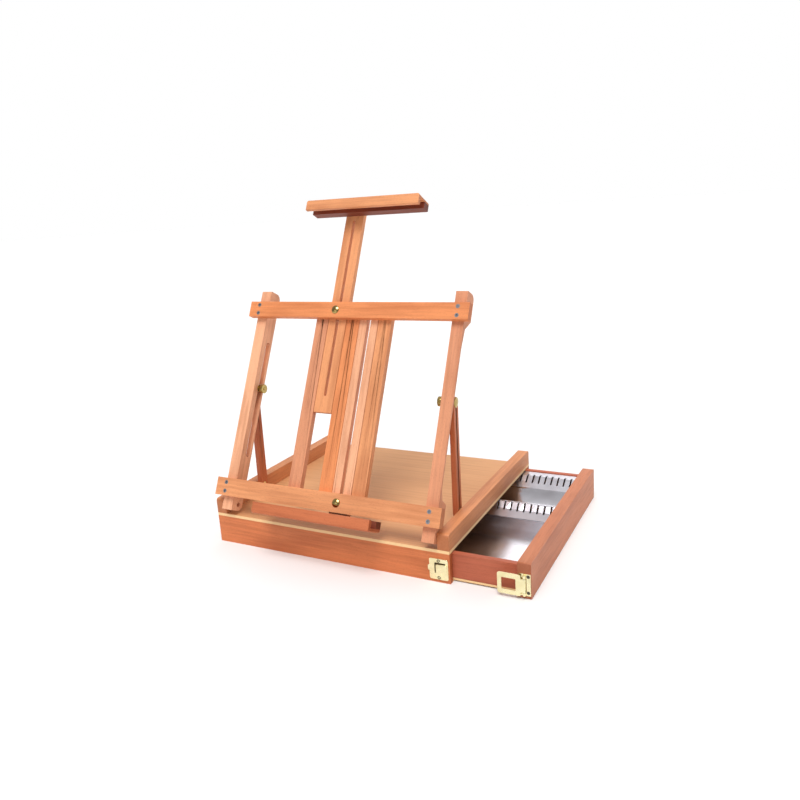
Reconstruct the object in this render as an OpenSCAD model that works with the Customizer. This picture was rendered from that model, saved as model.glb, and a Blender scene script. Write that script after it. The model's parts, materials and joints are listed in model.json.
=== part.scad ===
// Tabletop box easel: a shallow box with a metal-lined drawer, two side rails on its lid,
// and a tilting frame with a sliding top clamp and a sliding canvas ledge.
// X runs along the front, Y towards the back, Z up; the origin is the centre of the underside.

/* [Box] */
// Width of the box along X
box_w = 400; // [380:1:430]
// Depth of the box along Y
box_d = 354; // [340:1:380]
// Height of the box walls
wall_h = 44; // [44:1:52]
// Thickness of the box walls
wall_t = 8; // [7:0.5:9]
// Thickness of the plywood top panel
ply_t = 4.5; // [3:0.5:6]
// Thickness of the bottom panel
bottom_t = 2; // [1.5:0.5:2.5]

/* [Side rails] */
// Width of each rail
rail_w = 17.5; // [16.5:0.5:18]
// Height of each rail above the top panel
rail_h = 24; // [22:1:27]

/* [Frame] */
// Lean of the frame back from upright, in degrees
tilt = 26.8; // [22:0.1:32]
// Length of each upright above its foot pivot
upright_h = 347.5; // [340:0.5:350]
// Width of each upright along X
upright_w = 18.5; // [18:0.5:19]
// Length of the two cross bars
bar_len = 383.5; // [372:0.5:390]
// Height of the lower cross bar
lower_bar_h = 27.5; // [24:0.5:30]
// Height of the upper cross bar
upper_bar_h = 25; // [24:0.5:30]
// Thickness of the cross bars
bar_t = 11; // [9:0.5:12]
// Height of the lower bar's bottom edge above the foot pivot
lower_bar_u = 11.5; // [11:0.5:14]
// Height of the upper bar's bottom edge above the foot pivot
upper_bar_u = 301.5; // [290:0.5:303]

/* [Sliders] */
// Width of the sliding mast and the ledge slider
slider_w = 31.8; // [30:0.2:32.2]
// Width of the centre guide board
centre_guide_w = 23; // [20:1:24]
// Width of each outer guide board
guide_w = 22; // [18:1:24]
// Thickness of the sliding boards
slider_t = 9; // [8:0.5:9.5]
// Length of the top clamp and the ledge
holder_len = 198; // [180:2:210]

/* [Drawer] */
// How far the drawer stands open
drawer_open = 95; // [0:1:240]
// Thickness of the drawer front
drawer_front_t = 18.4; // [16:0.2:20]
// Height of the drawer front
drawer_front_h = 50.4; // [49:0.2:51]
// Spacing of the brush comb slots
comb_pitch = 10.6; // [9:0.1:13]

/* [Hidden] */
$fn = 48;

// Colours
beech = [0.86, 0.52, 0.34];
beech_light = [0.93, 0.66, 0.47];
beech_dark = [0.72, 0.36, 0.24];
plywood = [0.93, 0.76, 0.55];
brass = [0.88, 0.76, 0.45];
steel = [0.62, 0.62, 0.66];

// Box
half_w = box_w / 2;
half_d = box_d / 2;
top_z = wall_h + ply_t;
rail_top_z = top_z + rail_h;
rail_in_x = half_w - rail_w;
rail_round = 5;
tiny_gap = 0.3;
slide_gap = 0.1;
cut = 1;

// Frame: a local frame with Z up the uprights, Y to their back and the foot pivot at the origin
pivot_y = -half_d + 8;
pivot_z = top_z + 14.5;
upright_out_x = rail_in_x - 0.5;
upright_in_x = upright_out_x - upright_w;
upright_mid_x = (upright_in_x + upright_out_x) / 2;
upright_front = -15;
upright_back = 10;
foot_len = 9.5;
bar_front = upright_front - bar_t;
upper_bolt_u = upper_bar_u + upper_bar_h / 2;
lower_bolt_u = lower_bar_u + lower_bar_h / 2;

// Strut: pivots on the rail, and its bolt slides in the upright's slot
strut_y = -half_d + 88.5;
strut_z = top_z + 17.5;
strut_w = 16;
strut_t = 8;
strut_out_x = rail_in_x - 2.5;
strut_in_x = strut_out_x - strut_t;
bolt_r0 = 187.5;
bolt_y = pivot_y + bolt_r0 * sin(tilt);
bolt_z = pivot_z + bolt_r0 * cos(tilt);
strut_len = norm([bolt_y - strut_y, bolt_z - strut_z]);
strut_lean = atan2(bolt_y - strut_y, bolt_z - strut_z);
strut_head_r = 4.2;
strut_head_x = strut_in_x + 2.5;
rebate_web = 3.5;
rebate_x = strut_in_x - tiny_gap;
rebate_y = upright_front + rebate_web;
ramp_u = 262;
slot_w = 10.6;
slot_shift = 1.15;
slot_lo = 81;
slot_hi = 259;

// Fasteners
bolt_r = 2;
fit_gap = 0.05;
lock_bolt_r = 2;
washer_t = 1;
nut_gap = 0.2;
screw_head_r = 3.2;

// Sliders
channel_x = centre_guide_w / 2;
slider_x = channel_x + 16.5;
mast_slot_w = 4.6;
ledge_slot_w = 6;
mast_lo = 155;
clamp_u = 472;
ledge_u = -7;
ledge_slider_top = 316;
recess = 14.5;
holder_back_t = 14;
holder_lip_t = 6.5;
holder_plate_t = 5;
holder_h = 15;
holder_lip_h = 16.5;
holder_round = 4;

// Drawer
drawer_gap_y = 9.4;
drawer_side_t = 8;
drawer_back_x = -half_w + 9.5 + drawer_open;
drawer_front_x = half_w + drawer_open;
drawer_ply_z = bottom_t + 0.5;
drawer_ply_t = 3;
drawer_floor_z = drawer_ply_z + drawer_ply_t;
drawer_side_top = wall_h - 1.5;
drawer_out_y = half_d - drawer_gap_y;
drawer_in_y = drawer_out_y - drawer_side_t;
sheet_t = 0.8;
tray_in_x = drawer_back_x + drawer_side_t + tiny_gap;
tray_out_x = drawer_front_x - tiny_gap;
tray_split_y = 3;
tray_rear_h = 24;
comb_top_z = 41;
comb_bend_z = 24.4;
comb_crease = [17, 32.5];
comb_ridge_y = 24;
comb_roll_y = 30.8;
comb_roll_z = 35.6;
comb_slot_w = 2.6;
trough_r = 63;
trough_y = 80;
trough_z = 76;
trough_lo_y = comb_roll_y + 0.2;
trough_hi_y = 120;
rear_comb_z = 26.8;
rear_ridge_y = 141;

// Latch
latch_t = 1.2;
catch_x = half_w - 16.5;
catch_w = 28;
latch_z = 20;
latch_h = 31;
latch_head_r = 2.4;
hinge_x = drawer_front_x + 9.5;
hinge_out = 2.4;
knuckle_r = 2.1;
pin_r = 0.9;
loop_t = 1.4;
loop_len = 36;
loop_window = [[-30.4, -8.2], [-11, 8.2]];

// Extrudes a shape drawn in (Y, Z) along X, from x0 to x1
module along_x(x0, x1) {
    translate([x0, 0, 0])
        rotate([90, 0, 90])
            linear_extrude(x1 - x0)
                children();
}

// A plain board given by its low and high corners
module board(low, high) {
    translate(low)
        cube(high - low);
}

// The waste at a square corner that leaves a round of radius r
module corner_waste(r) {
    difference() {
        translate([-cut, -cut])
            square(r + cut);
        translate([r, r])
            circle(r);
    }
}

// A rectangle from low to high with its four corners rounded: low-low, high-low, high-high, low-high
module rounded_outline(low, high, r) {
    difference() {
        translate(low)
            square(high - low);
        if (r[0] > 0)
            translate(low)
                corner_waste(r[0]);
        if (r[1] > 0)
            translate([high[0], low[1]])
                mirror([1, 0])
                    corner_waste(r[1]);
        if (r[2] > 0)
            translate(high)
                mirror([1, 0])
                    mirror([0, 1])
                        corner_waste(r[2]);
        if (r[3] > 0)
            translate([low[0], high[1]])
                mirror([0, 1])
                    corner_waste(r[3]);
    }
}

// A cylinder along X from x0 to x1 through (y, z)
module rod_x(x0, x1, y, z, r) {
    translate([x0, y, z])
        rotate([0, 90, 0])
            cylinder(h = x1 - x0, r = r);
}

// A cylinder along Y from y0 to y1 through (x, z)
module rod_y(y0, y1, x, z, r) {
    translate([x, y0, z])
        rotate([-90, 0, 0])
            cylinder(h = y1 - y0, r = r);
}

// A domed round head that sits on a face and points along -Z
module domed_head(r, t, rim) {
    sphere_r = (r * r + (t - rim) * (t - rim)) / (2 * (t - rim));
    translate([0, 0, -rim])
        cylinder(h = rim, r = r);
    intersection() {
        translate([0, 0, -t + sphere_r])
            sphere(sphere_r);
        translate([0, 0, -t])
            cylinder(h = t - rim + 0.01, r = r);
    }
}

// The outline of a countersunk screw: flat head face at the origin, shank along -Z
module screw_body(length, head_r) {
    shank_r = head_r * 0.56;
    head_t = head_r * 0.62;
    translate([0, 0, -head_t])
        cylinder(h = head_t, r1 = shank_r, r2 = head_r);
    translate([0, 0, -length])
        cylinder(h = length - head_t + 0.1, r = shank_r);
}

// A countersunk screw with a cross recess
module flat_screw(length, head_r = screw_head_r) {
    arm = head_r * 0.62;
    difference() {
        screw_body(length, head_r);
        translate([0, 0, -1.5])
            cylinder(h = 1.5 + cut, r = 0.3 * head_r);
        for (a = [0, 90])
            rotate([0, 0, a])
                translate([-arm, -0.4, -0.8])
                    cube([2 * arm, 0.8, cut + 0.8]);
    }
}

// The hole that a countersunk screw of the same length fills
module screw_hole(length, head_r = screw_head_r) {
    screw_body(length, head_r);
    cylinder(h = cut, r = head_r);
}

// A knurled thumb nut with its seat at the origin, its axis along +Z, and a bore of radius bore
module thumb_nut(bore) {
    collar_r = 4.6;
    collar_t = 2.4;
    grip_r = 7.2;
    grip_t = 5.6;
    ribs = 24;
    difference() {
        union() {
            cylinder(h = collar_t, r = collar_r);
            translate([0, 0, collar_t])
                cylinder(h = grip_t, r = grip_r);
        }
        translate([0, 0, -cut])
            cylinder(h = collar_t + grip_t + 2 * cut, r = bore);
        for (i = [0 : ribs - 1])
            rotate([0, 0, i * 360 / ribs])
                translate([grip_r + 0.15, 0, collar_t + 0.5])
                    cylinder(h = grip_t + cut, r = 0.55, $fn = 4);
    }
}

module in_frame() {
    translate([0, pivot_y, pivot_z])
        rotate([-tilt, 0, 0])
            children();
}

module in_strut() {
    translate([0, strut_y, strut_z])
        rotate([-strut_lean, 0, 0])
            children();
}

module on_left() {
    mirror([1, 0, 0])
        children();
}

module at_rear() {
    mirror([0, 1, 0])
        children();
}

// ---- Box ----

rail_screw_y = [-0.36 * box_d, -0.05 * box_d, 0.36 * box_d];
rail_screw_x = rail_in_x + rail_w / 2;
rail_screw_len = ply_t + 14;

module front_wall() {
    color(beech)
        difference() {
            board([-half_w, -half_d, 0], [half_w, -half_d + wall_t, wall_h]);
            catch_holes();
        }
}

module back_wall() {
    color(beech)
        difference() {
            board([-half_w, half_d - wall_t, 0], [half_w, half_d, wall_h]);
            at_rear()
                catch_holes();
        }
}

module left_wall() {
    color(beech)
        board([-half_w, -half_d + wall_t, 0], [-half_w + wall_t, half_d - wall_t, wall_h]);
}

module bottom_panel() {
    color(plywood)
        board([-half_w + wall_t, -half_d + wall_t, 0], [half_w, half_d - wall_t, bottom_t]);
}

module top_panel() {
    color(plywood)
        difference() {
            board([-half_w, -half_d, wall_h], [half_w, half_d, top_z]);
            for (side = [-1, 1])
                for (y = rail_screw_y)
                    translate([side * rail_screw_x, y, wall_h])
                        mirror([0, 0, 1])
                            screw_hole(rail_screw_len);
        }
}

module rail_screws() {
    color(steel)
        for (side = [-1, 1])
            for (y = rail_screw_y)
                translate([side * rail_screw_x, y, wall_h])
                    mirror([0, 0, 1])
                        flat_screw(rail_screw_len);
}

module right_rail() {
    color(beech)
        difference() {
            along_x(rail_in_x, half_w)
                rounded_outline([-half_d, top_z], [half_d, rail_top_z], [0, 0, rail_round, rail_round]);
            for (y = rail_screw_y)
                translate([rail_screw_x, y, wall_h])
                    mirror([0, 0, 1])
                        screw_hole(rail_screw_len);
            rod_x(rail_in_x - cut, rail_in_x + 12, pivot_y, pivot_z, bolt_r);
            rod_x(rail_in_x - cut, rail_in_x + 12, strut_y, strut_z, bolt_r);
        }
}

module left_rail() {
    on_left()
        right_rail();
}

// A pivot screw whose head is at x0 and whose tip is 12 mm inside the rail
module pivot_screw(x0, y, z, head_r) {
    rod_x(x0, rail_in_x + 12, y, z, bolt_r);
    difference() {
        rod_x(x0 - 2, x0, y, z, head_r);
        board([x0 - 2 - cut, y - head_r, z - 0.5], [x0 - 1.1, y + head_r, z + 0.5]);
    }
}

foot_head_x = upright_in_x + 8.5;

module foot_pivot_screws() {
    color(steel)
        for (side = [0, 1])
            mirror([side, 0, 0])
                pivot_screw(foot_head_x, pivot_y, pivot_z, 3);
}

module strut_pivot_screws() {
    color(brass)
        for (side = [0, 1])
            mirror([side, 0, 0])
                pivot_screw(strut_head_x, strut_y, strut_z, strut_head_r);
}

module strut_spacers() {
    color(brass)
        for (side = [0, 1])
            mirror([side, 0, 0])
                difference() {
                    rod_x(strut_out_x + tiny_gap, rail_in_x, strut_y, strut_z, 6);
                    rod_x(strut_out_x - cut, rail_in_x + cut, strut_y, strut_z, bolt_r);
                }
}

// ---- Latches: modelled at the front and mirrored to the back ----

catch_screw_z = [latch_z - 12.5, latch_z + 12.5];
catch_screw_len = 7.5;
hasp_screw_len = 12;

module latch_screw_at(x, z) {
    translate([x, -half_d - latch_t, z])
        rotate([90, 0, 0])
            children();
}

module catch_holes() {
    for (z = catch_screw_z)
        latch_screw_at(catch_x, z)
            screw_hole(catch_screw_len, latch_head_r);
}

module front_catch() {
    boss_w = 16.6;
    boss_h = 15.4;
    boss_x = catch_x + 4.3;
    boss_out = 1.6;
    lug_w = 2.2;
    lug_h = 8;
    lug_z = latch_z - 3;
    color(brass)
        difference() {
            union() {
                board([catch_x - catch_w / 2, -half_d - latch_t, latch_z - latch_h / 2],
                      [catch_x + catch_w / 2, -half_d, latch_z + latch_h / 2]);
                board([catch_x - catch_w / 2 - lug_w, -half_d - latch_t, lug_z],
                      [catch_x - catch_w / 2, -half_d, lug_z + lug_h]);
                board([boss_x - boss_w / 2, -half_d - latch_t - boss_out, latch_z - boss_h / 2],
                      [boss_x + boss_w / 2, -half_d - latch_t, latch_z + boss_h / 2]);
            }
            catch_holes();
        }
}

module rear_catch() {
    at_rear()
        front_catch();
}

module catch_screws() {
    color(steel)
        for (side = [0, 1])
            mirror([0, side, 0])
                for (z = catch_screw_z)
                    latch_screw_at(catch_x, z)
                        flat_screw(catch_screw_len, latch_head_r);
}

hasp_plate_lo_x = drawer_front_x + 1;
hasp_plate_hi_x = drawer_front_x + drawer_front_t - 0.5;
hasp_screw_x = drawer_front_x + 14.6;
hasp_screw_z = [latch_z + 1 - 11.5, latch_z + 1 + 11.5];
knuckle_y = -half_d - hinge_out;
loop_z0 = 5;
loop_z1 = 35;
knuckle_z0 = 10.5;
knuckle_z1 = 29.5;

module hasp_holes() {
    for (z = hasp_screw_z)
        latch_screw_at(hasp_screw_x, z)
            screw_hole(hasp_screw_len, latch_head_r);
}

module front_hasp_plate() {
    color(brass)
        difference() {
            union() {
                board([hasp_plate_lo_x, -half_d - latch_t, loop_z0], [hasp_plate_hi_x, -half_d, loop_z1 + 1]);
                for (z = [loop_z0 + 0.5, knuckle_z1 + tiny_gap])
                    translate([hinge_x, knuckle_y, z])
                        cylinder(h = 4.6, r = knuckle_r);
            }
            hasp_holes();
            translate([hinge_x, knuckle_y, 0])
                cylinder(h = drawer_front_h, r = pin_r);
            board([hinge_x - 4.5, -half_d - 5, knuckle_z0 - tiny_gap],
                  [hinge_x + 2.6, -half_d + cut, knuckle_z1 + tiny_gap]);
        }
}

module rear_hasp_plate() {
    at_rear()
        front_hasp_plate();
}

module hasp_screws() {
    color(steel)
        for (side = [0, 1])
            mirror([0, side, 0])
                for (z = hasp_screw_z)
                    latch_screw_at(hasp_screw_x, z)
                        flat_screw(hasp_screw_len, latch_head_r);
}

module hasp_pins() {
    color(brass)
        for (side = [0, 1])
            mirror([0, side, 0])
                translate([hinge_x, knuckle_y, loop_z0 + 0.5])
                    cylinder(h = loop_z1 - loop_z0 - 1, r = pin_r);
}

module front_hasp_loop() {
    loop_y = -half_d - hinge_out - knuckle_r;
    color(brass)
        difference() {
            union() {
                translate([0, loop_y + loop_t, 0])
                    rotate([90, 0, 0])
                        linear_extrude(loop_t)
                            difference() {
                                union() {
                                    rounded_outline([hinge_x - loop_len, loop_z0],
                                                    [hinge_x - 4.5, loop_z1], [3, 2, 2, 3]);
                                    translate([hinge_x - 6, knuckle_z0])
                                        square([6, knuckle_z1 - knuckle_z0]);
                                }
                                translate([hinge_x, latch_z])
                                    rounded_outline(loop_window[0], loop_window[1], [1, 1, 1, 1]);
                            }
                translate([hinge_x, knuckle_y, knuckle_z0])
                    cylinder(h = knuckle_z1 - knuckle_z0, r = knuckle_r);
            }
            translate([hinge_x, knuckle_y, 0])
                cylinder(h = drawer_front_h, r = pin_r + fit_gap);
        }
}

module rear_hasp_loop() {
    at_rear()
        front_hasp_loop();
}

// ---- Drawer ----

module drawer_front() {
    color(beech)
        difference() {
            along_x(drawer_front_x, drawer_front_x + drawer_front_t)
                rounded_outline([-half_d, 0.4], [half_d, 0.4 + drawer_front_h], [1, 1, 2.5, 2.5]);
            hasp_holes();
            at_rear()
                hasp_holes();
        }
}

module drawer_front_side() {
    color(beech_dark)
        board([drawer_back_x, -drawer_out_y, drawer_floor_z],
              [drawer_front_x, -drawer_in_y, drawer_side_top]);
}

module drawer_rear_side() {
    color(beech_dark)
        board([drawer_back_x, drawer_in_y, drawer_floor_z],
              [drawer_front_x, drawer_out_y, drawer_side_top]);
}

module drawer_end() {
    color(beech_dark)
        board([drawer_back_x, -drawer_in_y, drawer_floor_z],
              [drawer_back_x + drawer_side_t, drawer_in_y, drawer_side_top]);
}

module drawer_bottom() {
    color(plywood)
        board([drawer_back_x, -drawer_out_y, drawer_ply_z],
              [drawer_front_x, drawer_out_y, drawer_floor_z]);
}

// Sheet-metal liner of the paint compartment: a floor and four thin walls
module paint_tray() {
    tray_low = [tray_in_x, -drawer_in_y + tiny_gap, drawer_floor_z];
    tray_high = [tray_out_x, tray_split_y, drawer_side_top - 1.5];
    color(steel)
        difference() {
            board(tray_low, tray_high);
            board(tray_low + [sheet_t, sheet_t, sheet_t], tray_high + [-sheet_t, -sheet_t, cut]);
            board([tray_low[0] - cut, tray_split_y - sheet_t - 0.1, tray_rear_h],
                  [tray_high[0] + cut, tray_split_y + cut, tray_high[2] + cut]);
        }
}

// Curved gutter that the brushes lie in
module brush_trough() {
    color(steel)
        along_x(tray_in_x, tray_out_x)
            intersection() {
                difference() {
                    translate([trough_y, trough_z])
                        circle(trough_r + sheet_t, $fn = 128);
                    translate([trough_y, trough_z])
                        circle(trough_r, $fn = 128);
                }
                translate([trough_lo_y, drawer_floor_z])
                    square([trough_hi_y - trough_lo_y, comb_top_z - drawer_floor_z]);
            }
}

comb_len = tray_out_x - tray_in_x;
comb_slots = floor(comb_len / comb_pitch) - 1;
comb_x0 = tray_in_x + (comb_len - (comb_slots - 1) * comb_pitch) / 2;

module comb_cuts(y, z, lean, depth) {
    for (i = [0 : comb_slots - 1])
        translate([comb_x0 + i * comb_pitch, y, z])
            rotate([lean, 0, 0])
                translate([-comb_slot_w / 2, -6, -depth])
                    cube([comb_slot_w, 9, depth + 8]);
}

// Front comb: an upright foot, a slope slotted to hold the brush handles, and a turned-down edge
module front_comb() {
    foot_y = tray_split_y + 1;
    color(steel)
        difference() {
            along_x(tray_in_x, tray_out_x)
                polygon([[foot_y, drawer_floor_z], [foot_y + sheet_t, drawer_floor_z],
                         [foot_y + sheet_t, comb_bend_z - 0.2], comb_crease + [0.5, -0.7],
                         [comb_ridge_y, comb_top_z - sheet_t - 0.3],
                         [comb_roll_y - sheet_t, comb_top_z - 2 * sheet_t], [comb_roll_y - sheet_t, comb_roll_z],
                         [comb_roll_y, comb_roll_z], [comb_roll_y, comb_top_z - sheet_t],
                         [comb_ridge_y, comb_top_z], comb_crease, [foot_y, comb_bend_z]]);
            comb_cuts(comb_ridge_y, comb_top_z - 1.5, -45, 13);
        }
}

// Rear comb: a second slotted slope that turns over into a flat shelf
module rear_comb() {
    foot_y = trough_hi_y + tiny_gap;
    wall_y = drawer_in_y - tiny_gap;
    color(steel)
        difference() {
            along_x(tray_in_x, tray_out_x)
                polygon([[foot_y, rear_comb_z], [foot_y + 0.4, rear_comb_z - 0.7],
                         [rear_ridge_y + 0.4, comb_top_z - sheet_t],
                         [wall_y - sheet_t, comb_top_z - sheet_t], [wall_y - sheet_t, drawer_floor_z],
                         [wall_y, drawer_floor_z], [wall_y, comb_top_z], [rear_ridge_y, comb_top_z]]);
            comb_cuts(rear_ridge_y - 1, comb_top_z - 1.5, -55, 13);
        }
}

// ---- Frame ----

bar_screw_x = half_w - 26;
bar_screw_du = [-6.6, 6.8];

module bar_screw_at(x, u) {
    translate([x, bar_front, u])
        rotate([90, 0, 0])
            children();
}

// Right upright: a full-section head and foot, an outer rebate for the strut, and the slot
module right_upright() {
    in_frame()
        color(beech_light)
            difference() {
                along_x(upright_in_x, upright_out_x)
                    rounded_outline([upright_front, -foot_len], [upright_back, upright_h],
                                    [0.8, 9, 9, 1.5]);
                along_x(rebate_x, upright_out_x + cut)
                    rebate_outline();
                along_x(upright_in_x - cut, upright_out_x + cut)
                    slot_outline(slot_shift, slot_lo, slot_hi, slot_w);
                rod_x(upright_in_x - cut, upright_in_x + 8.8, 0, 0, 3.6);
                rod_x(upright_in_x, upright_out_x + cut, 0, 0, bolt_r + fit_gap);
                for (u = [lower_bolt_u, upper_bolt_u])
                    for (du = bar_screw_du)
                        bar_screw_at(bar_screw_x, u + du)
                            screw_hole(bar_t + 14);
            }
}

// The space cut for the strut, drawn in (Y, Z): a short ramp at its foot and a long one at its head
module rebate_outline() {
    back = upright_back + cut;
    polygon([[back, 44], [rebate_y + 6, 50], [rebate_y, 66], [rebate_y, ramp_u], [rebate_y + 4, ramp_u + 30],
             [back, ramp_u + 46]]);
}

// A slot with round ends, drawn in (Y, Z)
module slot_outline(y, lo, hi, w) {
    translate([y - w / 2, lo])
        square([w, hi - lo]);
    for (z = [lo, hi])
        translate([y, z])
            circle(w / 2);
}

module left_upright() {
    on_left()
        right_upright();
}

// A cross bar of height h whose bottom edge is at u0, with a bolt hole at bolt_x
module cross_bar(u0, h, bolt_x) {
    in_frame()
        color(beech)
            difference() {
                board([-bar_len / 2, bar_front, u0], [bar_len / 2, upright_front, u0 + h]);
                rod_y(bar_front - cut, upright_front + cut, bolt_x, u0 + h / 2, lock_bolt_r);
                for (side = [-1, 1])
                    for (du = bar_screw_du)
                        bar_screw_at(side * bar_screw_x, u0 + h / 2 + du)
                            screw_hole(bar_t + 14);
                for (x = guide_screw_x)
                    guide_screw_at(x, u0 + h / 2)
                        screw_hole(guide_screw_len);
            }
}

module lower_bar() {
    cross_bar(lower_bar_u, lower_bar_h, slider_x);
}

module upper_bar() {
    cross_bar(upper_bar_u, upper_bar_h, -slider_x);
}

module bar_screws() {
    in_frame()
        color(steel)
            for (side = [-1, 1])
                for (u = [lower_bolt_u, upper_bolt_u])
                    for (du = bar_screw_du)
                        bar_screw_at(side * bar_screw_x, u + du)
                            flat_screw(bar_t + 14);
}

guide_t = 10;
guide_back = upright_front + guide_t;
outer_guide_x = channel_x + 33;
guide_screw_x = [-outer_guide_x - guide_w / 2, 0, outer_guide_x + guide_w / 2];
guide_screw_len = guide_t + 8;

module guide_screw_at(x, u) {
    translate([x, guide_back, u])
        rotate([-90, 0, 0])
            children();
}

// A fixed guide board from x0 to x1, screwed to the backs of both bars
module guide(x0, x1) {
    in_frame()
        color(beech_light)
            difference() {
                board([x0, upright_front, lower_bar_u + 0.5],
                      [x1, guide_back, upper_bar_u + upper_bar_h - 0.5]);
                for (u = [lower_bolt_u, upper_bolt_u])
                    guide_screw_at((x0 + x1) / 2, u)
                        screw_hole(guide_screw_len);
            }
}

module left_guide() {
    guide(-outer_guide_x - guide_w, -outer_guide_x);
}

module centre_guide() {
    guide(-channel_x, channel_x);
}

module right_guide() {
    guide(outer_guide_x, outer_guide_x + guide_w);
}

module guide_screws() {
    in_frame()
        color(steel)
            for (x = guide_screw_x)
                for (u = [lower_bolt_u, upper_bolt_u])
                    guide_screw_at(x, u)
                        flat_screw(guide_screw_len);
}

slider_back = upright_front + slider_t;
nut_seat_y = slider_back + tiny_gap + washer_t + nut_gap;

module lock_bolt(x, u) {
    in_frame()
        color(brass) {
            rod_y(bar_front, nut_seat_y + 9, x, u, lock_bolt_r);
            translate([x, bar_front, u])
                rotate([-90, 0, 0])
                    domed_head(6.3, 2.8, 0.8);
        }
}

module upper_lock_bolt() {
    lock_bolt(-slider_x, upper_bolt_u);
}

module lower_lock_bolt() {
    lock_bolt(slider_x, lower_bolt_u);
}

module lock_washers() {
    washer_y = slider_back + tiny_gap;
    in_frame()
        color(brass)
            for (at = [[-slider_x, upper_bolt_u], [slider_x, lower_bolt_u]])
                difference() {
                    rod_y(washer_y, washer_y + washer_t, at[0], at[1], 7);
                    rod_y(washer_y - cut, washer_y + washer_t + cut, at[0], at[1], lock_bolt_r);
                }
}

module lock_nut(x, u) {
    in_frame()
        color(brass)
            translate([x, nut_seat_y, u])
                rotate([-90, 0, 0])
                    thumb_nut(lock_bolt_r + fit_gap);
}

module upper_lock_nut() {
    lock_nut(-slider_x, upper_bolt_u);
}

module lower_lock_nut() {
    lock_nut(slider_x, lower_bolt_u);
}

// ---- Mast with its clamp, and ledge slider with its ledge ----

// A sliding board centred on x, with a slot of width w from slot_from to slot_to and two screws at screw_u
module slider(x, u0, u1, w, slot_from, slot_to, screw_u) {
    in_frame()
        color(beech_light)
            difference() {
                board([x - slider_w / 2, upright_front + slide_gap, u0], [x + slider_w / 2, slider_back, u1]);
                translate([x - w / 2, upright_front - cut, slot_from])
                    cube([w, slider_t + 2 * cut, slot_to - slot_from]);
                for (u = [slot_from, slot_to])
                    rod_y(upright_front - cut, slider_back + cut, x, u, w / 2);
                for (side = [-1, 1])
                    holder_screw_at(x + side * 10, screw_u)
                        screw_hole(holder_screw_len);
            }
}

holder_screw_len = slider_t + 9;
holder_back_y = upright_front + slide_gap;
holder_block_y = upright_front - holder_back_t;
holder_front_y = holder_block_y - recess - holder_lip_t;
clamp_screw_u = clamp_u + 5;
ledge_screw_u = ledge_u + 10.5;

module holder_screw_at(x, u) {
    translate([x, slider_back, u])
        rotate([-90, 0, 0])
            children();
}

module mast() {
    slider(-slider_x, mast_lo, clamp_u + 10, mast_slot_w, mast_lo + 28, clamp_u - 9, clamp_screw_u);
}

module ledge_slider() {
    slider(slider_x, ledge_u, ledge_slider_top, ledge_slot_w, ledge_u + 27, ledge_slider_top - 10,
           ledge_screw_u);
}

// The block of a holder, from u0 to u1, with two screw holes near x at screw_u
module holder_block(x, u0, u1, screw_u) {
    in_frame()
        color(beech_dark)
            difference() {
                board([-holder_len / 2, holder_block_y, u0], [holder_len / 2, holder_back_y, u1]);
                for (side = [-1, 1])
                    holder_screw_at(x + side * 10, screw_u)
                        screw_hole(holder_screw_len);
            }
}

module clamp_block() {
    holder_block(-slider_x, clamp_u, clamp_u + holder_h - holder_plate_t, clamp_screw_u);
}

module ledge_block() {
    holder_block(slider_x, ledge_u + holder_plate_t, ledge_u + holder_h, ledge_screw_u);
}

// The plate and lip of a holder, drawn in (Y, Z) with the plate's outer face at Z = 0
module holder_lip_outline() {
    rounded_outline([holder_front_y, 0], [holder_back_y, holder_plate_t], [1.5, 1.5, 0, 0]);
    rounded_outline([holder_front_y, 0], [holder_front_y + holder_lip_t, holder_lip_h], [1.5, 0, 1.5, 1.5]);
}

// A lip along the whole holder, whose two outer corners are rounded
module holder_lip() {
    difference() {
        along_x(-holder_len / 2, holder_len / 2)
            holder_lip_outline();
        for (side = [0, 1])
            mirror([side, 0, 0])
                translate([-holder_len / 2, 0, 0])
                    rotate([90, 0, 0])
                        linear_extrude(100)
                            corner_waste(holder_round);
    }
}

module ledge_lip() {
    in_frame()
        color(beech)
            translate([0, 0, ledge_u])
                holder_lip();
}

module clamp_lip() {
    in_frame()
        color(beech_light)
            translate([0, 0, clamp_u + holder_h])
                mirror([0, 0, 1])
                    holder_lip();
}

module clamp_screws() {
    in_frame()
        color(steel)
            for (side = [-1, 1])
                holder_screw_at(-slider_x + side * 10, clamp_screw_u)
                    flat_screw(holder_screw_len);
}

module ledge_screws() {
    in_frame()
        color(steel)
            for (side = [-1, 1])
                holder_screw_at(slider_x + side * 10, ledge_screw_u)
                    flat_screw(holder_screw_len);
}

// ---- Struts ----

module right_strut() {
    end_r = strut_w / 2;
    in_strut()
        color(beech_dark)
            difference() {
                along_x(strut_in_x, strut_out_x)
                    rounded_outline([-end_r, -end_r], [end_r, strut_len + end_r],
                                    [end_r - 0.01, end_r - 0.01, end_r - 0.01, end_r - 0.01]);
                rod_x(strut_in_x - cut, strut_out_x + cut, 0, 0, bolt_r + fit_gap);
                rod_x(strut_in_x - cut, strut_head_x + tiny_gap, 0, 0, strut_head_r + tiny_gap);
                rod_x(strut_in_x - cut, strut_out_x + cut, 0, strut_len, bolt_r);
            }
}

module left_strut() {
    on_left()
        right_strut();
}

strut_washer_x = upright_in_x - tiny_gap;
strut_nut_x = strut_washer_x - washer_t - nut_gap;

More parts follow.
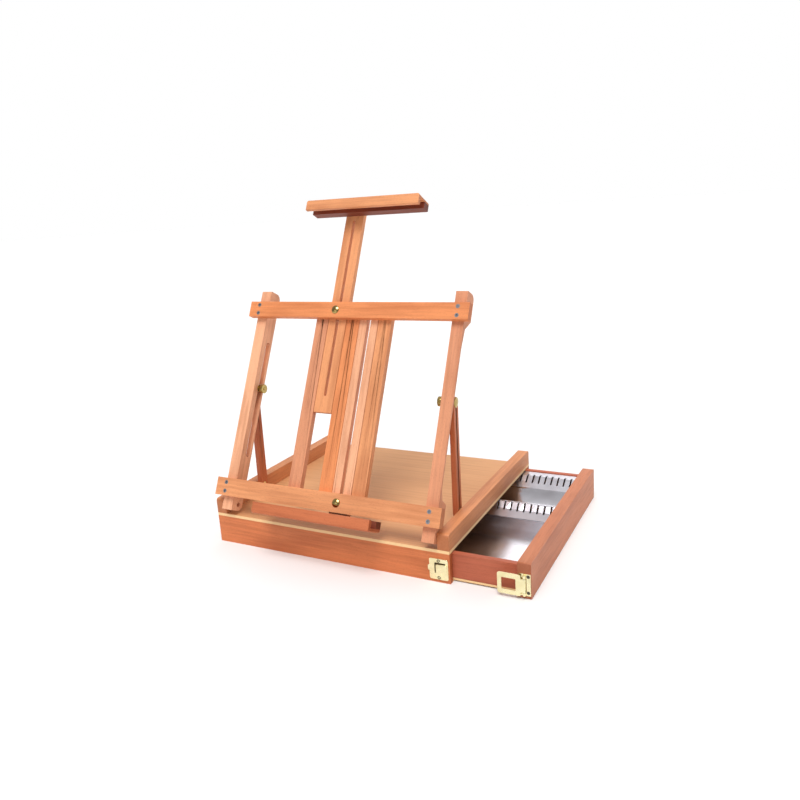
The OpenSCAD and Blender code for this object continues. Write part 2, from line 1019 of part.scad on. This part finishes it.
// Domed bolt head outside the strut, its shank through the slot, and a washer on the shank
module right_strut_bolt() {
    in_strut()
        color(brass)
            translate([0, 0, strut_len])
                rotate([0, 90, 0]) {
                    translate([0, 0, strut_out_x])
                        mirror([0, 0, 1])
                            domed_head(7.6, 1.9, 0.7);
                    translate([0, 0, strut_nut_x - 9])
                        cylinder(h = strut_out_x - strut_nut_x + 9, r = bolt_r);
                    translate([0, 0, strut_washer_x - washer_t])
                        cylinder(h = washer_t, r = 6.5);
                }
}

module left_strut_bolt() {
    on_left()
        right_strut_bolt();
}

module right_strut_nut() {
    in_strut()
        color(brass)
            translate([strut_nut_x, 0, strut_len])
                rotate([0, -90, 0])
                    thumb_nut(bolt_r + fit_gap);
}

module left_strut_nut() {
    on_left()
        right_strut_nut();
}

front_wall();
back_wall();
left_wall();
bottom_panel();
top_panel();
left_rail();
right_rail();
rail_screws();
foot_pivot_screws();
strut_pivot_screws();
strut_spacers();
front_catch();
rear_catch();
catch_screws();
drawer_front();
drawer_front_side();
drawer_rear_side();
drawer_end();
drawer_bottom();
paint_tray();
brush_trough();
front_comb();
rear_comb();
front_hasp_plate();
rear_hasp_plate();
hasp_screws();
hasp_pins();
front_hasp_loop();
rear_hasp_loop();
left_upright();
right_upright();
lower_bar();
upper_bar();
left_guide();
centre_guide();
right_guide();
bar_screws();
guide_screws();
upper_lock_bolt();
lower_lock_bolt();
lock_washers();
upper_lock_nut();
lower_lock_nut();
mast();
clamp_block();
clamp_lip();
clamp_screws();
ledge_slider();
ledge_block();
ledge_lip();
ledge_screws();
left_strut();
right_strut();
left_strut_bolt();
right_strut_bolt();
left_strut_nut();
right_strut_nut();
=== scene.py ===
"""Looks for the tabletop box easel: materials, soft edges, brass fittings, floor, light and camera.

Everything is in metres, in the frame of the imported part: X along the front, Y towards the back, Z up.
"""
import json
import math

import bmesh
import bpy
from mathutils import Matrix, Vector


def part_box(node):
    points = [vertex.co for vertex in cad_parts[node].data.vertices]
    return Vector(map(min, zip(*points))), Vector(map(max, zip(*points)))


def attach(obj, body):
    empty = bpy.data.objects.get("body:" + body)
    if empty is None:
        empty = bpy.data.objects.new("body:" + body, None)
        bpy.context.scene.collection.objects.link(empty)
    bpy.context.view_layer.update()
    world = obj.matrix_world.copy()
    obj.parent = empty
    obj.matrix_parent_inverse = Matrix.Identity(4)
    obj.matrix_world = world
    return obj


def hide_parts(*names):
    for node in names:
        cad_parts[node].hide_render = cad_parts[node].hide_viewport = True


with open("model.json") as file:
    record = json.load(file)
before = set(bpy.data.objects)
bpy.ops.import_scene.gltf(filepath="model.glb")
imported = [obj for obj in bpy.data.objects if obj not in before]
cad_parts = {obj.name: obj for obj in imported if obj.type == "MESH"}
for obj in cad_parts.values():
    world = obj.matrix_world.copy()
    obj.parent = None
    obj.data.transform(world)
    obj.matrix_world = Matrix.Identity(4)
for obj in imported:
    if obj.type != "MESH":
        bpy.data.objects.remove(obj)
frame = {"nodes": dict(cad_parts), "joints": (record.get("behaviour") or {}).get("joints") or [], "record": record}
NODES = frame["nodes"]
BODY_OF = {n: body for body, names in frame["record"]["behaviour"]["bodies"].items() for n in names}
JOINTS = {j["name"]: j for j in frame["joints"]}
MM = 0.001


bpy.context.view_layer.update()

# The frame leans back; its boards run along this direction
LEAN_AXIS = Vector(JOINTS["mast_height"]["axis"])
LEAN = math.atan2(LEAN_AXIS.y, LEAN_AXIS.z)
LEANING_BODIES = ("easel_frame", "mast_slide", "ledge")


# ---------------------------------------------------------------- materials

def srgb(code, alpha=1.0):
    """A colour written as a web code, in linear light."""
    parts = [int(code[i:i + 2], 16) / 255 for i in (1, 3, 5)]
    linear = [c / 12.92 if c <= 0.04045 else ((c + 0.055) / 1.055) ** 2.4 for c in parts]
    return (*linear, alpha)


class Graph:
    """A material's node tree, with short calls for adding nodes and joining them."""

    def __init__(self, name):
        self.material = bpy.data.materials.new(name)
        self.material.use_nodes = True
        self.tree = self.material.node_tree
        self.shader = self.tree.nodes["Principled BSDF"]

    def feed(self, socket, value):
        if isinstance(value, bpy.types.NodeSocket):
            self.tree.links.new(value, socket)
        else:
            socket.default_value = value

    def add(self, kind, inputs, **settings):
        node = self.tree.nodes.new("ShaderNode" + kind)
        for key, value in settings.items():
            setattr(node, key, value)
        for key, value in inputs.items():
            self.feed(node.inputs[key], value)
        return node

    def objects_place(self):
        return self.add("TexCoord", {}).outputs["Object"]

    def mapped(self, vector, scale=(1, 1, 1), rotation=(0, 0, 0), location=(0, 0, 0)):
        inputs = {"Vector": vector, "Scale": scale, "Rotation": rotation, "Location": location}
        return self.add("Mapping", inputs).outputs["Vector"]

    def noise(self, vector, scale, detail=2.0, roughness=0.5):
        inputs = {"Vector": vector, "Scale": scale, "Detail": detail, "Roughness": roughness}
        return self.add("TexNoise", inputs).outputs["Fac"]

    def sum(self, *values):
        total = values[0]
        for value in values[1:]:
            total = self.math("ADD", total, value)
        return total

    def math(self, operation, a, b):
        node = self.add("Math", {0: a, 1: b}, operation=operation)
        return node.outputs[0]

    def ramp(self, value, low, high, to_low=0.0, to_high=1.0):
        inputs = {"Value": value, "From Min": low, "From Max": high, "To Min": to_low, "To Max": to_high}
        return self.add("MapRange", inputs).outputs["Result"]

    def mix(self, factor, a, b, blend="MIX"):
        node = self.add("Mix", {}, data_type="RGBA", blend_type=blend)
        self.feed(node.inputs[0], factor)
        self.feed(node.inputs[6], a)
        self.feed(node.inputs[7], b)
        return node.outputs[2]

    def bump(self, height, distance, strength=1.0):
        inputs = {"Height": height, "Distance": distance, "Strength": strength}
        self.feed(self.shader.inputs["Normal"], self.add("Bump", inputs).outputs["Normal"])

    def shade(self, **values):
        for key, value in values.items():
            self.feed(self.shader.inputs[key.replace("_", " ")], value)


# Wood tones, picked by someone who already knew the measured colours
TONES = {
    "russet": "#CC7444", "brick": "#B05C40", "cedar": "#D08858", "tan": "#BE7450",
    "amber": "#DC8854", "honey": "#DC9464", "peach": "#E4A680", "rose": "#D08C68",
    # groove_shade is painted shade: it colours the blocks behind the lips of the clamp and the ledge dark, for the
    # shade in their grooves
    "rust": "#BC6840", "groove_shade": "#7C3C28", "ply": "#D09868",
}

# Which tone each board has
WOOD = {
    "front_wall": "russet", "back_wall": "russet", "left_wall": "russet",
    "left_rail": "cedar", "right_rail": "cedar",
    "drawer_front": "tan", "drawer_front_side": "brick", "drawer_rear_side": "brick", "drawer_end": "brick",
    "left_upright": "peach", "right_upright": "rose",
    "lower_bar": "honey", "upper_bar": "amber",
    "left_guide": "rose", "centre_guide": "amber", "right_guide": "honey",
    # Both blocks take the painted-shade tone for the shade in their grooves
    "mast": "honey", "clamp_block": "groove_shade", "clamp_lip": "honey",
    "ledge_slider": "peach", "ledge_block": "groove_shade", "ledge_lip": "rust",
    "left_strut": "rust", "right_strut": "rust",
}
PLY = {"bottom_panel": "ply", "top_panel": "ply", "drawer_bottom": "ply"}
PLY_EDGE = "#EFC893"

# How fine each pattern is: along the grain, then across it in two directions
WOOD_BLOTCH = (7, 30, 30)
WOOD_STREAK = (9, 210, 210)
WOOD_FIBRE = (40, 760, 760)
WOOD_PORES = (190, 900, 900)
PLY_LINE = (4, 260, 20)
PLY_DARK_LINE = (7, 420, 20)
PLY_FIBRE = (40, 820, 820)
PLY_BLOTCH = (6, 16, 16)


def tinted(colour, factors):
    """A colour with each of its parts multiplied."""
    return (*(min(1.0, c * f) for c, f in zip(colour, factors)), 1.0)


def grain_turn(node):
    """The rotation that turns a board's grain direction to X."""
    low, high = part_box(node)
    size = high - low
    lean = LEAN if BODY_OF[node] in LEANING_BODIES else 0.0
    if size.x >= max(size.y, size.z):
        return (lean, 0, 0)
    if lean or size.z >= size.y:
        return (lean, math.radians(90), 0)
    return (0, 0, math.radians(-90))


def wood(node, tone, number):
    """Oiled beech: soft figure, fibre and short pores along the grain, different in each board."""
    base = srgb(TONES[tone])
    light = tinted(base, (1.12, 1.13, 1.12))
    deep = tinted(base, (0.76, 0.66, 0.60))
    fleck = tinted(base, (0.58, 0.44, 0.38))
    g = Graph("wood_" + node)
    shift = (0.61 * number, 0.043 + 0.017 * (number % 5), 0.031 + 0.013 * (number % 7))
    place = g.mapped(g.objects_place(), rotation=grain_turn(node), location=shift)
    blotch = g.noise(g.mapped(place, scale=WOOD_BLOTCH), 1.0, 3, 0.55)
    streak = g.noise(g.mapped(place, scale=WOOD_STREAK), 1.0, 3, 0.6)
    fibre = g.noise(g.mapped(place, scale=WOOD_FIBRE), 1.0, 3, 0.62)
    tonal = g.sum(g.math("MULTIPLY", blotch, 0.55), g.math("MULTIPLY", streak, 0.45))
    colour = g.mix(g.ramp(tonal, 0.38, 0.52), light, base)
    colour = g.mix(g.ramp(tonal, 0.49, 0.66, 0.0, 0.90), colour, deep)
    colour = g.mix(g.ramp(fibre, 0.54, 0.80, 0.0, 0.60), colour, deep)
    cells = g.add("TexVoronoi", {"Vector": g.mapped(place, scale=WOOD_PORES), "Scale": 1.0,
                                 "Randomness": 1.0}).outputs["Distance"]
    pores = g.ramp(cells, 0.14, 0.27, 1.0, 0.0)
    colour = g.mix(g.math("MULTIPLY", pores, 0.46), colour, fleck)
    normal = g.add("Mapping", {"Vector": g.add("TexCoord", {}).outputs["Normal"],
                               "Rotation": grain_turn(node)}, vector_type="VECTOR")
    along = g.add("SeparateXYZ", {"Vector": normal.outputs["Vector"]}).outputs["X"]
    end_grain = g.ramp(g.math("ABSOLUTE", along, 0.0), 0.6, 0.9)
    colour = g.mix(g.math("MULTIPLY", end_grain, 0.68), colour, fleck)
    g.shade(Base_Color=colour, Roughness=g.ramp(fibre, 0.3, 0.7, 0.44, 0.58), Specular_IOR_Level=0.38)
    g.bump(g.math("SUBTRACT", fibre, g.math("MULTIPLY", pores, 0.8)), 0.00012, 0.55)
    return g.material


def plywood(node, tone, number):
    """Beech-faced plywood: thin lines of figure, a few of them darker, and a cream edge."""
    base = srgb(TONES[tone])
    low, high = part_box(node)
    g = Graph("plywood_" + node)
    place = g.mapped(g.objects_place(), location=(0.7 * number, 0.3, 0))
    line = g.noise(g.mapped(place, scale=PLY_LINE), 1.0, 3, 0.6)
    dark_line = g.noise(g.mapped(place, scale=PLY_DARK_LINE), 1.0, 2, 0.5)
    fibre = g.noise(g.mapped(place, scale=PLY_FIBRE), 1.0, 3, 0.6)
    blotch = g.noise(g.mapped(place, scale=PLY_BLOTCH), 1.0, 2)
    tonal = g.sum(g.math("MULTIPLY", line, 0.6), g.math("MULTIPLY", blotch, 0.4))
    colour = g.mix(g.ramp(tonal, 0.36, 0.54), tinted(base, (1.10, 1.12, 1.14)), base)
    colour = g.mix(g.ramp(tonal, 0.52, 0.74, 0.0, 0.8), colour, tinted(base, (0.80, 0.70, 0.62)))
    colour = g.mix(g.ramp(dark_line, 0.62, 0.76, 0.0, 0.30), colour, tinted(base, (0.60, 0.48, 0.40)))
    facing = g.add("SeparateXYZ", {"Vector": g.add("TexCoord", {}).outputs["Normal"]}).outputs["Z"]
    edge = g.ramp(g.math("ABSOLUTE", facing, 0.0), 0.5, 0.8, 1.0, 0.0)
    colour = g.mix(edge, colour, srgb(PLY_EDGE))
    g.shade(Base_Color=colour, Roughness=g.ramp(fibre, 0.3, 0.7, 0.46, 0.60), Specular_IOR_Level=0.34)
    g.bump(fibre, 0.00010, 0.5)
    return g.material


def metal(name, base, worn, roughness, spread, scratch_size):
    """Polished metal with faint scratches, a little duller in places."""
    g = Graph(name)
    place = g.objects_place()
    patch = g.noise(place, 60.0, 2)
    scratch = g.noise(g.mapped(place, scale=scratch_size), 1.0, 3, 0.7)
    colour = g.mix(g.ramp(patch, 0.40, 0.80, 0.0, 0.6), srgb(base), srgb(worn))
    rough = g.sum(roughness, g.math("MULTIPLY", patch, spread), g.math("MULTIPLY", scratch, spread * 0.6))
    g.shade(Base_Color=colour, Metallic=1.0, Roughness=rough)
    g.bump(scratch, 0.00004, 0.3)
    return g.material


def galvanised(name, bright, dull, roughness):
    """Thin zinc-coated sheet: faint spangle, long rolling marks and shallow dents."""
    g = Graph(name)
    place = g.objects_place()
    cells = g.add("TexVoronoi", {"Vector": place, "Scale": 160.0, "Randomness": 1.0})
    spangle = g.add("SeparateColor", {"Color": cells.outputs["Color"]}).outputs[0]
    rolled = g.noise(g.mapped(place, scale=(18, 420, 420)), 1.0, 3, 0.6)
    dent = g.noise(place, 11.0, 1)
    stain = g.noise(place, 16.0, 2, 0.5)
    colour = g.mix(g.ramp(stain, 0.40, 0.75), srgb(bright), srgb(dull))
    rough = g.sum(roughness, g.math("MULTIPLY", spangle, 0.04), g.math("MULTIPLY", rolled, 0.05))
    g.shade(Base_Color=colour, Metallic=1.0, Roughness=rough)
    g.bump(dent, 0.0012, 0.6)
    return g.material


# Which way the scratches on a metal run
FINE_IN_Y = (60, 900, 60)
LONG_IN_Y = (900, 60, 900)

BRASS = metal("brass", "#F8EFC2", "#E2CF93", 0.20, 0.10, FINE_IN_Y)
BRONZE = metal("bronze", "#B99F63", "#745C34", 0.11, 0.10, LONG_IN_Y)
ZINC = metal("zinc_steel", "#A3A4AA", "#6C6A68", 0.24, 0.18, LONG_IN_Y)
SHEET = galvanised("sheet_metal", "#DCDAE0", "#C2BBBE", 0.20)
# The brush trough is the same sheet as the tray and combs; its darker colour is painted shade for the dark
# reflection inside the trough, its lower roughness is not painted
SHADED_GUTTER = galvanised("shaded_gutter_metal", "#C8C6CC", "#ABA6AA", 0.13)
COMB = galvanised("comb_metal", "#DAD8DF", "#BFB9C0", 0.26)
DARK = metal("dark_screw", "#6B6358", "#47403A", 0.26, 0.12, LONG_IN_Y)
# Dark brass for the painted shadow along the left and top of each catch's tongue
SHADOW_BRASS = metal("painted_shadow_brass", "#54452A", "#33291A", 0.45, 0.10, FINE_IN_Y)
METALS = {"brass": BRASS, "zinc_steel": ZINC, "sheet_metal": SHEET}
OWN_METAL = {
    # The trough takes the sheet with painted shade in its colour
    "brush_trough": SHADED_GUTTER, "front_comb": COMB, "rear_comb": COMB,
    "upper_lock_bolt": BRONZE, "lower_lock_bolt": BRONZE, "lock_washers": BRONZE,
    "left_strut_bolt": BRONZE, "right_strut_bolt": BRONZE,
    "left_strut_nut": BRONZE, "right_strut_nut": BRONZE,
    "catch_screws": DARK, "hasp_screws": DARK,
}
SLOT_OF = {row["node"]: row["material_slot"] for row in frame["record"]["subparts"]}


def dress(obj, material):
    """Gives the whole of obj one material."""
    obj.data.materials.clear()
    obj.data.materials.append(material)


# ---------------------------------------------------------------- soft edges

BEVEL_WOOD = 0.7 * MM
BEVEL_METAL = 0.25 * MM
BEVEL_LOOP = 0.5 * MM
LOOPS = ("front_hasp_loop", "rear_hasp_loop")
SHARP = math.radians(32)
WELD_GAP = 0.004 * MM


def soften(obj, width, segments=2):
    """Breaks the sharp edges of a piece."""
    weld = obj.modifiers.new("weld", "WELD")
    weld.merge_threshold = WELD_GAP
    bevel = obj.modifiers.new("bevel", "BEVEL")
    bevel.width = width
    bevel.segments = segments
    bevel.limit_method = "ANGLE"
    bevel.angle_limit = SHARP
    bevel.harden_normals = True
    bevel.miter_outer = "MITER_ARC"
    bevel.use_clamp_overlap = True


for number, node in enumerate(sorted(NODES)):
    piece = NODES[node]
    if node in WOOD:
        dress(piece, wood(node, WOOD[node], number))
        soften(piece, BEVEL_WOOD)
    elif node in PLY:
        dress(piece, plywood(node, PLY[node], number))
    else:
        dress(piece, OWN_METAL.get(node, METALS[SLOT_OF[node]]))
        soften(piece, BEVEL_LOOP if node in LOOPS else BEVEL_METAL)


# ---------------------------------------------------------------- the pressed catches on the box

CORNER_STEPS = 5
PLATE_T = 1.2 * MM
PLATE_CORNER = 2.6 * MM
PLATE_EDGE = 0.4 * MM
SUNK = 0.3 * MM

TONGUE_OUT = 1.6 * MM
TONGUE_NEAR = 18.0 * MM
TONGUE_FAR = 1.4 * MM
TONGUE_HALF_H = 7.7 * MM
TONGUE_CORNER = 1.6 * MM
TONGUE_EDGE = 0.8 * MM

# The painted shadow, a dark slab under the tongue: how far its sides are moved from the tongue's, to the left or
# upwards
SHADOW_OUT = 0.08 * MM
SHADOW_LEFT_SIDE_LEFT_BY = 2.2 * MM
SHADOW_FOOT_UP_BY = 1.5 * MM
SHADOW_RIGHT_SIDE_LEFT_BY = 2 * MM
SHADOW_TOP_UP_BY = 2 * MM
SHADOW_CORNER = 1.5 * MM
SHADOW_EDGE = 0.05 * MM

LUG_OUT = 2.2 * MM
LUG_W = 3.2 * MM
LUG_BELOW = 3 * MM
LUG_ABOVE = 5 * MM
LUG_PROUD = 0.3 * MM
LUG_CORNER = 1.0 * MM
LUG_EDGE = 0.5 * MM
CATCH_SPLIT = math.radians(40)


def rounded_slab(mesh, low, high, wall, face, corner, edge, slot=0):
    """Adds a slab with round corners to mesh, from y = wall out to y = face, where its rim is rounded.

    low and high are its (X, Z) corners."""
    known = set(mesh.faces)
    centres = ((high[0] - corner, high[1] - corner, 0), (low[0] + corner, high[1] - corner, 90),
               (low[0] + corner, low[1] + corner, 180), (high[0] - corner, low[1] + corner, 270))
    rim = []
    for x, z, start in centres:
        for step in range(CORNER_STEPS + 1):
            turn = math.radians(start + 90 / CORNER_STEPS * step)
            rim.append(mesh.verts.new((x + corner * math.cos(turn), wall, z + corner * math.sin(turn))))
    grown = bmesh.ops.extrude_face_region(mesh, geom=[mesh.faces.new(rim)])["geom"]
    lifted = [part for part in grown if isinstance(part, bmesh.types.BMVert)]
    for vert in lifted:
        vert.co.y = face
    edges = {e for vert in lifted for e in vert.link_edges if all(end in lifted for end in e.verts)}
    bmesh.ops.bevel(mesh, geom=list(edges), offset=edge, segments=3, profile=0.5, affect="EDGES")
    for new_face in set(mesh.faces) - known:
        new_face.material_index = slot
        new_face.smooth = True


def pressed_catch(node, out):
    """A catch as pressed from sheet: a plate with round corners, a raised tongue with a painted shadow along its
    left and top, and a lug.

    out is -1 on the front of the box and 1 on its back."""
    low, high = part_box(node)
    wall = low.y if out > 0 else high.y
    face = wall + out * PLATE_T
    under = face - out * SUNK
    middle_z = (low.z + high.z) / 2
    plate_low = (low.x + LUG_OUT, low.z)
    plate_high = (high.x, high.z)
    tongue_low = (high.x - TONGUE_NEAR, middle_z - TONGUE_HALF_H)
    tongue_high = (high.x - TONGUE_FAR, middle_z + TONGUE_HALF_H)
    shadow_low = (tongue_low[0] - SHADOW_LEFT_SIDE_LEFT_BY, tongue_low[1] + SHADOW_FOOT_UP_BY)
    shadow_high = (tongue_high[0] - SHADOW_RIGHT_SIDE_LEFT_BY, tongue_high[1] + SHADOW_TOP_UP_BY)
    lug_low = (low.x, middle_z - LUG_BELOW)
    lug_high = (low.x + LUG_W, middle_z + LUG_ABOVE)
    shadow_face = face + out * SHADOW_OUT
    mesh = bmesh.new()
    rounded_slab(mesh, plate_low, plate_high, wall, face, PLATE_CORNER, PLATE_EDGE)
    # A dark slab just under the tongue, moved to the left and upwards: painted shadow of the tongue
    rounded_slab(mesh, shadow_low, shadow_high, under, shadow_face, SHADOW_CORNER, SHADOW_EDGE, slot=1)
    rounded_slab(mesh, tongue_low, tongue_high, under, face + out * TONGUE_OUT, TONGUE_CORNER, TONGUE_EDGE)
    rounded_slab(mesh, lug_low, lug_high, wall, face + out * LUG_PROUD, LUG_CORNER, LUG_EDGE)
    bmesh.ops.recalc_face_normals(mesh, faces=mesh.faces)
    data = bpy.data.meshes.new(node + "_pressed")
    mesh.to_mesh(data)
    mesh.free()
    obj = bpy.data.objects.new(node + "_pressed", data)
    bpy.context.scene.collection.objects.link(obj)
    data.materials.append(BRASS)
    data.materials.append(SHADOW_BRASS)
    smooth = obj.modifiers.new("edges", "EDGE_SPLIT")
    smooth.split_angle = CATCH_SPLIT
    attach(obj, BODY_OF[node])
    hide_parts(node)


pressed_catch("front_catch", -1)
pressed_catch("rear_catch", 1)


# ---------------------------------------------------------------- floor and light

FLOOR_RADIUS = 30
FLOOR_COLOUR = (0.86, 0.86, 0.86, 1)

# How bright the room is to the object, from the front (low Y) round to the back (high Y)
ROOM_FRONT_Y = -0.4
ROOM_BACK_Y = 0.9
ROOM_FRONT = 0.34
ROOM_BACK = 0.95

# How bright the room is to the camera
ROOM_SEEN = 1.0

SUN_PLACE = (0.35, -1.4, 2.6)
SUN_POWER = 2.5
SUN_ANGLE = math.radians(34)

def plain_floor():
    bpy.ops.mesh.primitive_circle_add(vertices=96, radius=FLOOR_RADIUS, fill_type="NGON", location=(0, 0, 0))
    floor = bpy.context.object
    floor.name = "floor"
    g = Graph("floor")
    g.shade(Base_Color=FLOOR_COLOUR, Roughness=0.9, Specular_IOR_Level=0.0)
    dress(floor, g.material)


def aim(obj, place, target):
    obj.location = place
    obj.rotation_euler = (Vector(target) - Vector(place)).to_track_quat("-Z", "Y").to_euler()


def area_light(name, place, target, size, power):
    data = bpy.data.lights.new(name, "AREA")
    data.shape = "RECTANGLE"
    data.size, data.size_y = size
    data.energy = power
    lamp = bpy.data.objects.new(name, data)
    bpy.context.scene.collection.objects.link(lamp)
    aim(lamp, place, target)


def studio_light():
    """A room that is white to the camera and dimmer to the object, with a broad sun and two lamps."""
    world = bpy.data.worlds.new("studio")
    world.use_nodes = True
    tree = world.node_tree
    glow = tree.nodes["Background"]
    glow.inputs["Color"].default_value = (1, 1, 1, 1)
    place = tree.nodes.new("ShaderNodeTexCoord")
    axes = tree.nodes.new("ShaderNodeSeparateXYZ")
    around = tree.nodes.new("ShaderNodeMapRange")
    seen = tree.nodes.new("ShaderNodeLightPath")
    strength = tree.nodes.new("ShaderNodeMapRange")
    tree.links.new(place.outputs["Generated"], axes.inputs["Vector"])
    tree.links.new(axes.outputs["Y"], around.inputs["Value"])
    around.inputs["From Min"].default_value = ROOM_FRONT_Y
    around.inputs["From Max"].default_value = ROOM_BACK_Y
    around.inputs["To Min"].default_value = ROOM_FRONT
    around.inputs["To Max"].default_value = ROOM_BACK
    tree.links.new(seen.outputs["Is Camera Ray"], strength.inputs["Value"])
    tree.links.new(around.outputs["Result"], strength.inputs["To Min"])
    strength.inputs["To Max"].default_value = ROOM_SEEN
    tree.links.new(strength.outputs["Result"], glow.inputs["Strength"])
    bpy.context.scene.world = world
    sun = bpy.data.lights.new("sky", "SUN")
    sun.energy = SUN_POWER
    sun.angle = SUN_ANGLE
    lamp = bpy.data.objects.new("sky", sun)
    bpy.context.scene.collection.objects.link(lamp)
    aim(lamp, SUN_PLACE, (0, 0, 0))
    area_light("fill", (-0.6, -2.2, 0.9), (0, 0, 0.2), (1.6, 1.0), 4)
    area_light("back", (0.2, 2.6, 1.5), (0.15, 0, 0), (2.2, 0.5), 6)


# Single numbers from a fit of the camera to the straight edges of the object, made outside this script
CAMERA_PLACE = (0.5776, -0.9988, 0.5091)
CAMERA_AZIMUTH = 27.98
CAMERA_ELEVATION = 13.85
CAMERA_ROLL = -3.82
CAMERA_LENS = 33.03
CAMERA_SHIFT_X = 0.0012
CAMERA_SHIFT_Y = -0.0213


def camera():
    """The camera of the product view: close, from the right of the front, a little above."""
    azimuth = math.radians(CAMERA_AZIMUTH)
    elevation = math.radians(CAMERA_ELEVATION)
    roll = math.radians(CAMERA_ROLL)
    back = Vector((math.sin(azimuth) * math.cos(elevation), -math.cos(azimuth) * math.cos(elevation),
                   math.sin(elevation)))
    level = Vector((math.cos(azimuth), math.sin(azimuth), 0))
    above = back.cross(level)
    right = level * math.cos(roll) + above * math.sin(roll)
    up = above * math.cos(roll) - level * math.sin(roll)
    data = bpy.data.cameras.new("camera")
    data.sensor_width = 36
    data.lens = CAMERA_LENS
    data.shift_x = CAMERA_SHIFT_X
    data.shift_y = CAMERA_SHIFT_Y
    obj = bpy.data.objects.new("camera", data)
    bpy.context.scene.collection.objects.link(obj)
    turn = Matrix((right, up, back)).transposed().to_4x4()
    obj.matrix_world = Matrix.Translation(Vector(CAMERA_PLACE)) @ turn
    bpy.context.scene.camera = obj


plain_floor()
studio_light()
camera()
bpy.context.scene.view_settings.view_transform = "Standard"
